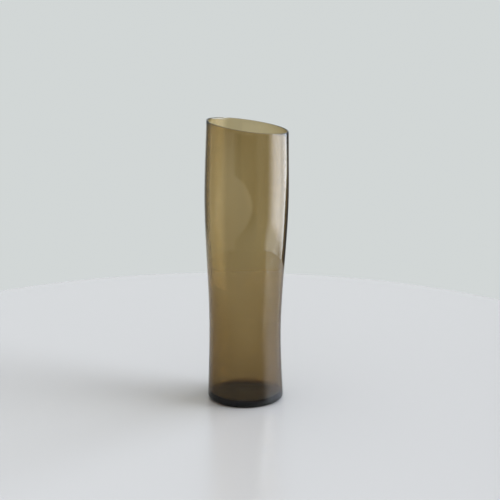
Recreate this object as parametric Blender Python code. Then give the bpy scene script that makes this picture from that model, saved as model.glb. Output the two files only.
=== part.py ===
"""Cylinder vase of smoked amber glass, blown in one piece: run with Blender 4.5, metres, +Z up.

The vase is turned from one closed half-section and then eased out of round, as blown glass ends up:
a little shallower than it is wide, its axis leaning towards +X above the waist, and its rim cut on a
slant that is highest at -X. It stands on z = 0, and its widest section is centred on the Z axis.
"""

import math

import bmesh
import bpy

# The driving dimensions
RIM_HEIGHT = 0.423
RIM_DROP = 0.141  # how far the cut rim falls for each metre towards +X
DEPTH_AT_RIM = 0.985  # front-to-back size of the rim over its width; the foot is round

# What changes with height, as (height, value, slope of the value) keys joined by smooth curves
OUTER_RADIUS = (
    (0.000, 0.0582, -0.045),
    (0.110, 0.0549, 0.000),
    (0.320, 0.0634, 0.000),
    (RIM_HEIGHT, 0.0613, -0.015),
)
WALL = (
    (0.000, 0.0033, -0.007),
    (0.110, 0.0027, -0.004),
    (0.280, 0.0021, 0.000),
    (RIM_HEIGHT, 0.0024, 0.006),
)
AXIS_X = (
    (0.000, -0.0018, -0.012),
    (0.110, -0.0025, 0.005),
    (0.320, 0.0000, 0.013),
    (RIM_HEIGHT, 0.0014, 0.013),
)

# The base and the edges
FLOOR_HEIGHT = 0.0062
FLOOR_FILLET = 0.008
HEEL_RADIUS = 0.006
HOLLOW_RADIUS = 0.044
HOLLOW_DEPTH = 0.0010
RIM_ROUNDING = 0.0009

# How finely the curves are cut
SIDES = 64
WALL_ROWS = 18
HOLLOW_ROWS = 4
HEEL_ROWS = 5
FILLET_ROWS = 5
RIM_ROWS = 3

GLASS_COLOUR = (0.30, 0.22, 0.11, 1.0)


def clear_scene():
    for obj in list(bpy.data.objects):
        bpy.data.objects.remove(obj, do_unlink=True)


def value_at(keys, height):
    """The value at a height, on the cubic curve between the two keys around it."""
    for (low, start, start_slope), (high, end, end_slope) in zip(keys, keys[1:]):
        if height <= high:
            break
    span = high - low
    t = (height - low) / span
    rise = t * t * (3 - 2 * t)
    swing = start_slope * t * (1 - t) ** 2 - end_slope * t * t * (1 - t)
    return start + (end - start) * rise + span * swing


def inner_radius(height):
    return value_at(OUTER_RADIUS, height) - value_at(WALL, height)


def quarter_arc(centre, radius, start_angle, rows):
    """Points of a quarter circle, anticlockwise from start_angle in degrees, as (radius, height)."""
    points = []
    for row in range(rows + 1):
        angle = math.radians(start_angle + 90 * row / rows)
        points.append((centre[0] + radius * math.cos(angle), centre[1] + radius * math.sin(angle)))
    return points


def underside():
    """From the middle of the shallow hollow out to the flat ring that the vase stands on."""
    points = []
    for row in range(HOLLOW_ROWS + 1):
        share = row / HOLLOW_ROWS
        points.append((HOLLOW_RADIUS * share, HOLLOW_DEPTH * (1 - share * share)))
    return points


def heel():
    centre = (value_at(OUTER_RADIUS, HEEL_RADIUS) - HEEL_RADIUS, HEEL_RADIUS)
    return quarter_arc(centre, HEEL_RADIUS, -90, HEEL_ROWS)


def outer_wall():
    """The rows between the heel and the rim."""
    top = RIM_HEIGHT - RIM_ROUNDING
    heights = [HEEL_RADIUS + (top - HEEL_RADIUS) * row / WALL_ROWS for row in range(1, WALL_ROWS)]
    return [(value_at(OUTER_RADIUS, height), height) for height in heights]


def rim():
    """The narrow flat face between its two rounded edges."""
    level = RIM_HEIGHT - RIM_ROUNDING
    outside = (value_at(OUTER_RADIUS, RIM_HEIGHT) - RIM_ROUNDING, level)
    inside = (inner_radius(RIM_HEIGHT) + RIM_ROUNDING, level)
    return quarter_arc(outside, RIM_ROUNDING, 0, RIM_ROWS) + quarter_arc(inside, RIM_ROUNDING, 90, RIM_ROWS)


def inner_wall():
    """The rows between the rim and the fillet."""
    top = RIM_HEIGHT - RIM_ROUNDING
    bottom = FLOOR_HEIGHT + FLOOR_FILLET
    heights = [top + (bottom - top) * row / WALL_ROWS for row in range(1, WALL_ROWS)]
    return [(inner_radius(height), height) for height in heights]


def floor():
    """The fillet at the foot of the inner wall, then the middle of the flat floor."""
    bottom = FLOOR_HEIGHT + FLOOR_FILLET
    fillet = quarter_arc((inner_radius(bottom) - FLOOR_FILLET, bottom), FLOOR_FILLET, -90, FILLET_ROWS)
    return fillet[::-1] + [(0.0, FLOOR_HEIGHT)]


def turn(outline):
    """A bmesh of the (radius, height) outline turned once round the Z axis."""
    mesh = bmesh.new()
    verts = [mesh.verts.new((radius, 0.0, height)) for radius, height in outline]
    edges = [mesh.edges.new(pair) for pair in zip(verts, verts[1:])]
    bmesh.ops.spin(
        mesh,
        geom=verts + edges,
        cent=(0, 0, 0),
        axis=(0, 0, 1),
        angle=2 * math.pi,
        steps=SIDES,
        use_merge=True,
    )
    bmesh.ops.remove_doubles(mesh, verts=mesh.verts, dist=1e-5)
    bmesh.ops.recalc_face_normals(mesh, faces=mesh.faces)
    return mesh


def ease_out_of_round(mesh):
    """Narrow the depth, lean the axis, and slant the rim; the foot and the floor stay flat."""
    for vert in mesh.verts:
        height = vert.co.z
        share = max(0.0, (height - FLOOR_HEIGHT) / (RIM_HEIGHT - FLOOR_HEIGHT))
        vert.co.y *= 1 + (DEPTH_AT_RIM - 1) * share
        vert.co.x += value_at(AXIS_X, height)
        vert.co.z -= RIM_DROP * vert.co.x * share**2


def smoked_glass():
    material = bpy.data.materials.new("smoked_glass")
    material.use_nodes = True
    shader = material.node_tree.nodes["Principled BSDF"]
    shader.inputs["Base Color"].default_value = GLASS_COLOUR
    shader.inputs["Roughness"].default_value = 0.03
    shader.inputs["Metallic"].default_value = 0.0
    shader.inputs["IOR"].default_value = 1.5
    shader.inputs["Transmission Weight"].default_value = 1.0
    return material


def vase_body():
    outline = underside() + heel() + outer_wall() + rim() + inner_wall() + floor()
    turned = turn(outline)
    ease_out_of_round(turned)
    mesh = bpy.data.meshes.new("vase_body")
    turned.to_mesh(mesh)
    turned.free()
    mesh.shade_smooth()
    mesh.set_sharp_from_angle(angle=math.radians(35))
    mesh.materials.append(smoked_glass())
    body = bpy.data.objects.new("vase_body", mesh)
    bpy.context.scene.collection.objects.link(body)
    return body


clear_scene()
vase_body()
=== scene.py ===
"""Looks of the smoked amber glass cylinder vase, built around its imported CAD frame.

The CAD node is a faceted solid, so one finer piece of glass replaces it: the same outline and walls,
turned in many more steps, with the faint waviness of blown glass on both faces. The light is a pale
studio all round, with a large window light on the right and a low fill on the left. Metres, +Z up.
"""

import math

import bmesh
import bpy
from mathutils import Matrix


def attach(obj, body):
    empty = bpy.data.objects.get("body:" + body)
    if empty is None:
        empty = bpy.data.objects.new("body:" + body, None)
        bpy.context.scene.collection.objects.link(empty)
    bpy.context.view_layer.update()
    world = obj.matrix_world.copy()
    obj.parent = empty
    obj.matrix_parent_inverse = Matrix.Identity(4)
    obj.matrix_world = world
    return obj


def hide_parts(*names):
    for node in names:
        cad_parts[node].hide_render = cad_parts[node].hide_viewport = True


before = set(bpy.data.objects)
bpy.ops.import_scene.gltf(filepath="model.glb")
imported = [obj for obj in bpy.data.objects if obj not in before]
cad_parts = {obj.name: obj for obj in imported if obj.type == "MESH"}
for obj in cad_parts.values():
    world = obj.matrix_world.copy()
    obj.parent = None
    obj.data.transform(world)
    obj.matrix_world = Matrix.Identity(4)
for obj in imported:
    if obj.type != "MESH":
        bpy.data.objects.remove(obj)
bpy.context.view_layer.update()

# ---------------------------------------- the vase's dimensions, as the CAD has them

RIM_HEIGHT = 0.423
RIM_DROP = 0.141  # how far the cut rim falls for each metre towards +X
DEPTH_AT_RIM = 0.985  # front-to-back size of the rim over its width; the foot is round

# What changes with height, as (height, value, slope of the value) keys joined by smooth curves
OUTER_RADIUS = (
    (0.000, 0.0582, -0.045),
    (0.110, 0.0549, 0.000),
    (0.320, 0.0634, 0.000),
    (RIM_HEIGHT, 0.0613, -0.015),
)
WALL = (
    (0.000, 0.0033, -0.007),
    (0.110, 0.0027, -0.004),
    (0.280, 0.0021, 0.000),
    (RIM_HEIGHT, 0.0024, 0.006),
)
AXIS_X = (
    (0.000, -0.0018, -0.012),
    (0.110, -0.0025, 0.005),
    (0.320, 0.0000, 0.013),
    (RIM_HEIGHT, 0.0014, 0.013),
)

FLOOR_HEIGHT = 0.0062
FLOOR_FILLET = 0.008
HEEL_RADIUS = 0.006
HOLLOW_RADIUS = 0.044
HOLLOW_DEPTH = 0.0010
RIM_ROUNDING = 0.0009

# How finely the curves are cut, which is finer than in the CAD
SIDES = 160
WALL_ROWS = 80
HOLLOW_ROWS = 8
HEEL_ROWS = 10
FILLET_ROWS = 12
RIM_ROWS = 5
WELD_DISTANCE = 0.00001  # joins the last step of the turn to the first
SHARP_ANGLE = 35.0  # degrees; edges that turn less are shaded smooth

# The waviness that blowing leaves, as (waves round the wall, waves up the wall, depth, phase)
OUTER_WAVES = ((2, 0.7, 0.00010, 0.4), (3, 1.6, 0.00006, 2.1), (5, 2.3, 0.00003, 4.0))
INNER_WAVES = ((2, 1.1, 0.00014, 3.3), (3, 2.2, 0.00008, 0.9), (4, 3.1, 0.00004, 5.2))
FOOT_FADE = 0.1  # share of the height over which the waviness starts above the floor
RIM_FADE = 0.06  # and over which it ends under the rim

# ---------------------------------------- the glass's shape


def value_at(keys, height):
    """The value at a height, on the cubic curve between the two keys around it."""
    for (low, start, start_slope), (high, end, end_slope) in zip(keys, keys[1:]):
        if height <= high:
            break
    span = high - low
    t = (height - low) / span
    rise = t * t * (3 - 2 * t)
    swing = start_slope * t * (1 - t) ** 2 - end_slope * t * t * (1 - t)
    return start + (end - start) * rise + span * swing


def inner_radius(height):
    return value_at(OUTER_RADIUS, height) - value_at(WALL, height)


def quarter_arc(centre, radius, start_angle, rows):
    """Points of a quarter circle, anticlockwise from start_angle in degrees, as (radius, height)."""
    points = []
    for row in range(rows + 1):
        angle = math.radians(start_angle + 90 * row / rows)
        points.append((centre[0] + radius * math.cos(angle), centre[1] + radius * math.sin(angle)))
    return points


def underside():
    """From the middle of the shallow hollow out to the flat ring that the vase stands on."""
    points = []
    for row in range(HOLLOW_ROWS + 1):
        share = row / HOLLOW_ROWS
        points.append((HOLLOW_RADIUS * share, HOLLOW_DEPTH * (1 - share * share)))
    return points


def heel():
    centre = (value_at(OUTER_RADIUS, HEEL_RADIUS) - HEEL_RADIUS, HEEL_RADIUS)
    return quarter_arc(centre, HEEL_RADIUS, -90, HEEL_ROWS)


def outer_wall():
    """The rows between the heel and the rim."""
    top = RIM_HEIGHT - RIM_ROUNDING
    heights = [HEEL_RADIUS + (top - HEEL_RADIUS) * row / WALL_ROWS for row in range(1, WALL_ROWS)]
    return [(value_at(OUTER_RADIUS, height), height) for height in heights]


def rim():
    """The narrow flat face between its two rounded edges."""
    level = RIM_HEIGHT - RIM_ROUNDING
    outside = (value_at(OUTER_RADIUS, RIM_HEIGHT) - RIM_ROUNDING, level)
    inside = (inner_radius(RIM_HEIGHT) + RIM_ROUNDING, level)
    return quarter_arc(outside, RIM_ROUNDING, 0, RIM_ROWS) + quarter_arc(inside, RIM_ROUNDING, 90, RIM_ROWS)


def inner_wall():
    """The rows between the rim and the fillet."""
    top = RIM_HEIGHT - RIM_ROUNDING
    bottom = FLOOR_HEIGHT + FLOOR_FILLET
    heights = [top + (bottom - top) * row / WALL_ROWS for row in range(1, WALL_ROWS)]
    return [(inner_radius(height), height) for height in heights]


def floor_of_vase():
    """The fillet at the foot of the inner wall, then the flat floor to its middle."""
    bottom = FLOOR_HEIGHT + FLOOR_FILLET
    fillet = quarter_arc((inner_radius(bottom) - FLOOR_FILLET, bottom), FLOOR_FILLET, -90, FILLET_ROWS)
    return fillet[::-1] + [(0.0, FLOOR_HEIGHT)]


def turn(outline):
    """A bmesh of the (radius, height) outline turned once round the Z axis."""
    mesh = bmesh.new()
    verts = [mesh.verts.new((radius, 0.0, height)) for radius, height in outline]
    edges = [mesh.edges.new(pair) for pair in zip(verts, verts[1:])]
    bmesh.ops.spin(
        mesh,
        geom=verts + edges,
        cent=(0, 0, 0),
        axis=(0, 0, 1),
        angle=2 * math.pi,
        steps=SIDES,
        use_merge=True,
    )
    bmesh.ops.remove_doubles(mesh, verts=mesh.verts, dist=WELD_DISTANCE)
    bmesh.ops.recalc_face_normals(mesh, faces=mesh.faces)
    return mesh


def wave(waves, angle, share):
    """How far the wall's face stands out at an angle round it and a share of its height."""
    total = 0.0
    for around, up, depth, phase in waves:
        total += depth * math.sin(around * angle + phase) * math.cos(2 * math.pi * up * share + phase)
    return total


def add_waviness(mesh):
    """Waves on both faces of the wall, fading out at the foot and at the cut rim."""
    for vert in mesh.verts:
        height = vert.co.z
        radius = math.hypot(vert.co.x, vert.co.y)
        share = (height - FLOOR_HEIGHT) / (RIM_HEIGHT - FLOOR_HEIGHT)
        if share <= 0 or radius < HOLLOW_RADIUS:
            continue
        middle = value_at(OUTER_RADIUS, height) - value_at(WALL, height) / 2
        waves = OUTER_WAVES if radius > middle else INNER_WAVES
        fade = min(1.0, share / FOOT_FADE) * min(1.0, (1 - share) / RIM_FADE)
        grown = 1 + fade * wave(waves, math.atan2(vert.co.y, vert.co.x), share) / radius
        vert.co.x *= grown
        vert.co.y *= grown


def ease_out_of_round(mesh):
    """Narrow the depth, lean the axis, and slant the rim; the foot and the floor stay flat."""
    for vert in mesh.verts:
        height = vert.co.z
        share = max(0.0, (height - FLOOR_HEIGHT) / (RIM_HEIGHT - FLOOR_HEIGHT))
        vert.co.y *= 1 + (DEPTH_AT_RIM - 1) * share
        vert.co.x += value_at(AXIS_X, height)
        vert.co.z -= RIM_DROP * vert.co.x * share**2


# ---------------------------------------- the glass's material

SMOKE_COLOUR = (0.65, 0.54, 0.235, 1.0)
SMOKE_DENSITY = 600.0


def noise(tree, place, scale, detail):
    """Soft noise between 0 and 1, fixed to the object."""
    texture = tree.nodes.new("ShaderNodeTexNoise")
    texture.inputs["Scale"].default_value = scale
    texture.inputs["Detail"].default_value = detail
    tree.links.new(place, texture.inputs["Vector"])
    return texture.outputs["Fac"]


def add_ripple(tree, place, shader):
    """The faint ripple of a blown surface, too fine for the mesh."""
    bump = tree.nodes.new("ShaderNodeBump")
    bump.inputs["Strength"].default_value = 0.25
    bump.inputs["Distance"].default_value = 0.0004
    tree.links.new(noise(tree, place, scale=22.0, detail=1.0), bump.inputs["Height"])
    tree.links.new(bump.outputs["Normal"], shader.inputs["Normal"])


def add_handling(tree, place, shader):
    """A polish that handling has dulled a little in patches."""
    polish = tree.nodes.new("ShaderNodeMapRange")
    polish.inputs["From Min"].default_value = 0.35
    polish.inputs["From Max"].default_value = 0.75
    polish.inputs["To Min"].default_value = 0.0
    polish.inputs["To Max"].default_value = 0.012
    tree.links.new(noise(tree, place, scale=9.0, detail=4.0), polish.inputs["Value"])
    tree.links.new(polish.outputs["Result"], shader.inputs["Roughness"])


def add_smoke(tree):
    """The smoked amber colour, which is in the glass's depth: thicker glass looks darker."""
    depth = tree.nodes.new("ShaderNodeVolumeAbsorption")
    depth.inputs["Color"].default_value = SMOKE_COLOUR
    depth.inputs["Density"].default_value = SMOKE_DENSITY
    tree.links.new(depth.outputs["Volume"], tree.nodes["Material Output"].inputs["Volume"])


def smoked_glass():
    """Clear glass whose smoked amber colour is in its depth, with a faintly rippled, handled surface."""
    material = bpy.data.materials.new("smoked_glass")
    material.use_nodes = True
    tree = material.node_tree
    shader = tree.nodes["Principled BSDF"]
    shader.inputs["Base Color"].default_value = (1.0, 1.0, 1.0, 1.0)
    shader.inputs["IOR"].default_value = 1.5
    shader.inputs["Transmission Weight"].default_value = 1.0
    place = tree.nodes.new("ShaderNodeTexCoord").outputs["Object"]
    add_ripple(tree, place, shader)
    add_handling(tree, place, shader)
    add_smoke(tree)
    return material


def vase_glass():
    outline = underside() + heel() + outer_wall() + rim() + inner_wall() + floor_of_vase()
    turned = turn(outline)
    add_waviness(turned)
    ease_out_of_round(turned)
    mesh = bpy.data.meshes.new("vase_glass")
    turned.to_mesh(mesh)
    turned.free()
    mesh.shade_smooth()
    mesh.set_sharp_from_angle(angle=math.radians(SHARP_ANGLE))
    mesh.materials.append(smoked_glass())
    glass = bpy.data.objects.new("vase_glass", mesh)
    bpy.context.scene.collection.objects.link(glass)
    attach(glass, "root")
    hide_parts("vase_body")


# ---------------------------------------- the table

TABLE_RADIUS = 0.762
TABLE_X = -0.04  # the table's middle
TABLE_THICKNESS = 0.03
TABLE_SIDES = 192
TABLE_GAP = 0.0002  # keeps the foot and the table from sharing a plane
STONE_COLOUR = (0.64, 0.615, 0.59, 1.0)
STONE_ROUGHNESS = 0.24


def pale_stone():
    material = bpy.data.materials.new("pale_floor")
    material.use_nodes = True
    shader = material.node_tree.nodes["Principled BSDF"]
    shader.inputs["Base Color"].default_value = STONE_COLOUR
    shader.inputs["Roughness"].default_value = STONE_ROUGHNESS
    return material


def pale_floor():
    """A plain round table top, so that its far edge shows where the eye expects a horizon."""
    build = bmesh.new()
    bmesh.ops.create_cone(
        build,
        cap_ends=True,
        segments=TABLE_SIDES,
        radius1=TABLE_RADIUS,
        radius2=TABLE_RADIUS,
        depth=TABLE_THICKNESS,
    )
    mesh = bpy.data.meshes.new("floor")
    build.to_mesh(mesh)
    build.free()
    mesh.materials.append(pale_stone())
    top = bpy.data.objects.new("floor", mesh)
    top.location = (TABLE_X, 0.0, -TABLE_GAP - TABLE_THICKNESS / 2)
    bpy.context.scene.collection.objects.link(top)


# ---------------------------------------- the light

# Directions are in degrees: azimuth from the front (-Y) towards +X, and elevation up from level
BACKDROP = (0.697, 0.726, 0.723)
CEILING = (0.76, 0.78, 0.80)
CEILING_START = (30.0, 50.0)  # elevations over which the light round the studio gives way to the ceiling
LOW_START = (-16.0, -19.5)  # and over which, going down, it fades to the backdrop, for a soft join

# The light round the studio, as (azimuth, colour) stops
WINDOW = (5.8, 6.3, 7.3)
WINDOW_SIDE = (3.7, 4.1, 4.8)
SHADE = (0.20, 0.20, 0.21)
AROUND = (
    (-10, BACKDROP),
    (54, BACKDROP),
    (86, WINDOW),
    (97, WINDOW),
    (113, WINDOW_SIDE),
    (132, WINDOW_SIDE),
    (146, SHADE),
    (163, SHADE),
    (170, BACKDROP),
)
BRIGHTEST = 8.0  # a colour ramp holds values up to 1, so the stops are divided by this

# Patches of light and shade laid over it in this order, as (colour, middle, half-size, squareness,
# edge). Middle and half-size are (azimuth, elevation). A squareness of 2 is an ellipse, and more comes
# nearer to a rectangle. The edge is the share of the half-size that the border fades over, either way.
HIGH_WINDOW = (11.0, 12.0, 13.3)
LOW_WINDOW = (3.2, 3.45, 3.9)
FILL = (1.15, 1.15, 1.10)
FRONT_SHADE = (0.28, 0.28, 0.29)
BACK_LEFT_SHADE = (0.30, 0.31, 0.32)
BACK_RIGHT_SHADE = (0.15, 0.15, 0.16)
PATCHES = (
    (HIGH_WINDOW, (76.0, 24.5), (15.5, 8.5), 3.0, 0.30),
    (LOW_WINDOW, (80.0, -22.0), (24.0, 5.0), 4.0, 0.30),
    (FRONT_SHADE, (-2.0, -11.0), (30.0, 6.3), 4.0, 0.25),
    (FILL, (-53.0, -14.0), (21.0, 8.0), 6.0, 0.10),
    (FILL, (-40.0, -12.8), (56.0, 5.1), 2.0, 0.04),
    (BACK_LEFT_SHADE, (-141.0, -9.5), (13.0, 5.0), 4.0, 0.15),
    (BACK_RIGHT_SHADE, (148.0, -17.0), (17.0, 6.5), 4.0, 0.10),
)


class Sky:
    """Builds the studio's light as nodes that read only the direction."""

    def __init__(self, tree):
        self.nodes = tree.nodes
        self.links = tree.links
        place = self.nodes.new("ShaderNodeTexCoord")
        split = self.nodes.new("ShaderNodeSeparateXYZ")
        self.links.new(place.outputs["Generated"], split.inputs["Vector"])
        forwards = self.maths("MULTIPLY", split.outputs["Y"], -1.0)
        turned = self.maths("ARCTAN2", split.outputs["X"], forwards)
        risen = self.maths("ARCSINE", split.outputs["Z"])
        self.azimuth = self.maths("MULTIPLY", turned, 180 / math.pi)
        self.elevation = self.maths("MULTIPLY", risen, 180 / math.pi)

    def maths(self, operation, *values):
        """A Math node's result, from other nodes' results or plain floats."""
        node = self.nodes.new("ShaderNodeMath")
        node.operation = operation
        for socket, value in zip(node.inputs, values):
            if isinstance(value, float):
                socket.default_value = value
            else:
                self.links.new(value, socket)
        return node.outputs[0]

    def rise(self, value, start, end):
        """0 at the start and 1 at the end, smooth between them."""
        node = self.nodes.new("ShaderNodeMapRange")
        node.interpolation_type = "SMOOTHSTEP"
        node.inputs["From Min"].default_value = start
        node.inputs["From Max"].default_value = end
        self.links.new(value, node.inputs["Value"])
        return node.outputs["Result"]

    def around(self):
        """The light of each azimuth."""
        ramp = self.nodes.new("ShaderNodeValToRGB")
        ramp.color_ramp.interpolation = "EASE"
        share = self.maths("DIVIDE", self.maths("ADD", self.azimuth, 180.0), 360.0)
        self.links.new(share, ramp.inputs["Fac"])
        stops = ramp.color_ramp.elements
        while len(stops) < len(AROUND):
            stops.new(0.5)
        for stop, (azimuth, colour) in zip(stops, AROUND):
            stop.position = (azimuth + 180) / 360
            stop.color = (*(part / BRIGHTEST for part in colour), 1.0)
        light = self.nodes.new("ShaderNodeVectorMath")
        light.operation = "SCALE"
        light.inputs["Scale"].default_value = BRIGHTEST
        self.links.new(ramp.outputs["Color"], light.inputs["Vector"])
        return light.outputs["Vector"]

    def patch(self, middle, half_size, squareness, edge):
        """1 inside a rounded patch of directions and 0 outside it."""
        total = None
        for value, centre, half in zip((self.azimuth, self.elevation), middle, half_size):
            share = self.maths("DIVIDE", self.maths("SUBTRACT", value, centre), half)
            power = self.maths("POWER", self.maths("ABSOLUTE", share), squareness)
            total = power if total is None else self.maths("ADD", total, power)
        return self.rise(self.maths("POWER", total, 1 / squareness), 1 + edge, 1 - edge)

    def mixed(self, factor, under, over):
        """The colour over, laid on the light under it as far as the factor says."""
        node = self.nodes.new("ShaderNodeMix")
        node.data_type = "RGBA"
        self.links.new(factor, node.inputs["Factor"])
        self.links.new(under, node.inputs["A"])
        node.inputs["B"].default_value = (*over, 1.0)
        return node.outputs["Result"]


def studio_world():
    """A pale studio with a large window light on the right, a low fill on the left and shade between."""
    world = bpy.data.worlds.new("studio")
    world.use_nodes = True
    bpy.context.scene.world = world
    sky = Sky(world.node_tree)
    light = sky.around()
    light = sky.mixed(sky.rise(sky.elevation, *LOW_START), light, BACKDROP)
    for colour, *shape in PATCHES:
        light = sky.mixed(sky.patch(*shape), light, colour)
    light = sky.mixed(sky.rise(sky.elevation, *CEILING_START), light, CEILING)
    sky.links.new(light, sky.nodes["Background"].inputs["Color"])


# ---------------------------------------- the camera and the display

CAMERA_LENS = 104.4  # millimetres, as is the sensor's width
SENSOR_WIDTH = 36.0
CAMERA_X = 0.0051
CAMERA_DISTANCE = 2.132
CAMERA_HEIGHT = 0.751
CAMERA_PITCH = 13.66  # degrees down from level
NEAR_CLIP = 0.05
DISPLAY_GAMMA = 0.82  # under 1 raises the contrast a little


def camera():
    lens = bpy.data.cameras.new("camera")
    lens.lens = CAMERA_LENS
    lens.sensor_width = SENSOR_WIDTH
    lens.clip_start = NEAR_CLIP
    eye = bpy.data.objects.new("camera", lens)
    eye.location = (CAMERA_X, -CAMERA_DISTANCE, CAMERA_HEIGHT)
    eye.rotation_euler = (math.radians(90 - CAMERA_PITCH), 0.0, 0.0)
    bpy.context.scene.collection.objects.link(eye)
    bpy.context.scene.camera = eye


def display():
    settings = bpy.context.scene.view_settings
    settings.view_transform = "Standard"
    settings.gamma = DISPLAY_GAMMA


display()
vase_glass()
pale_floor()
studio_world()
camera()
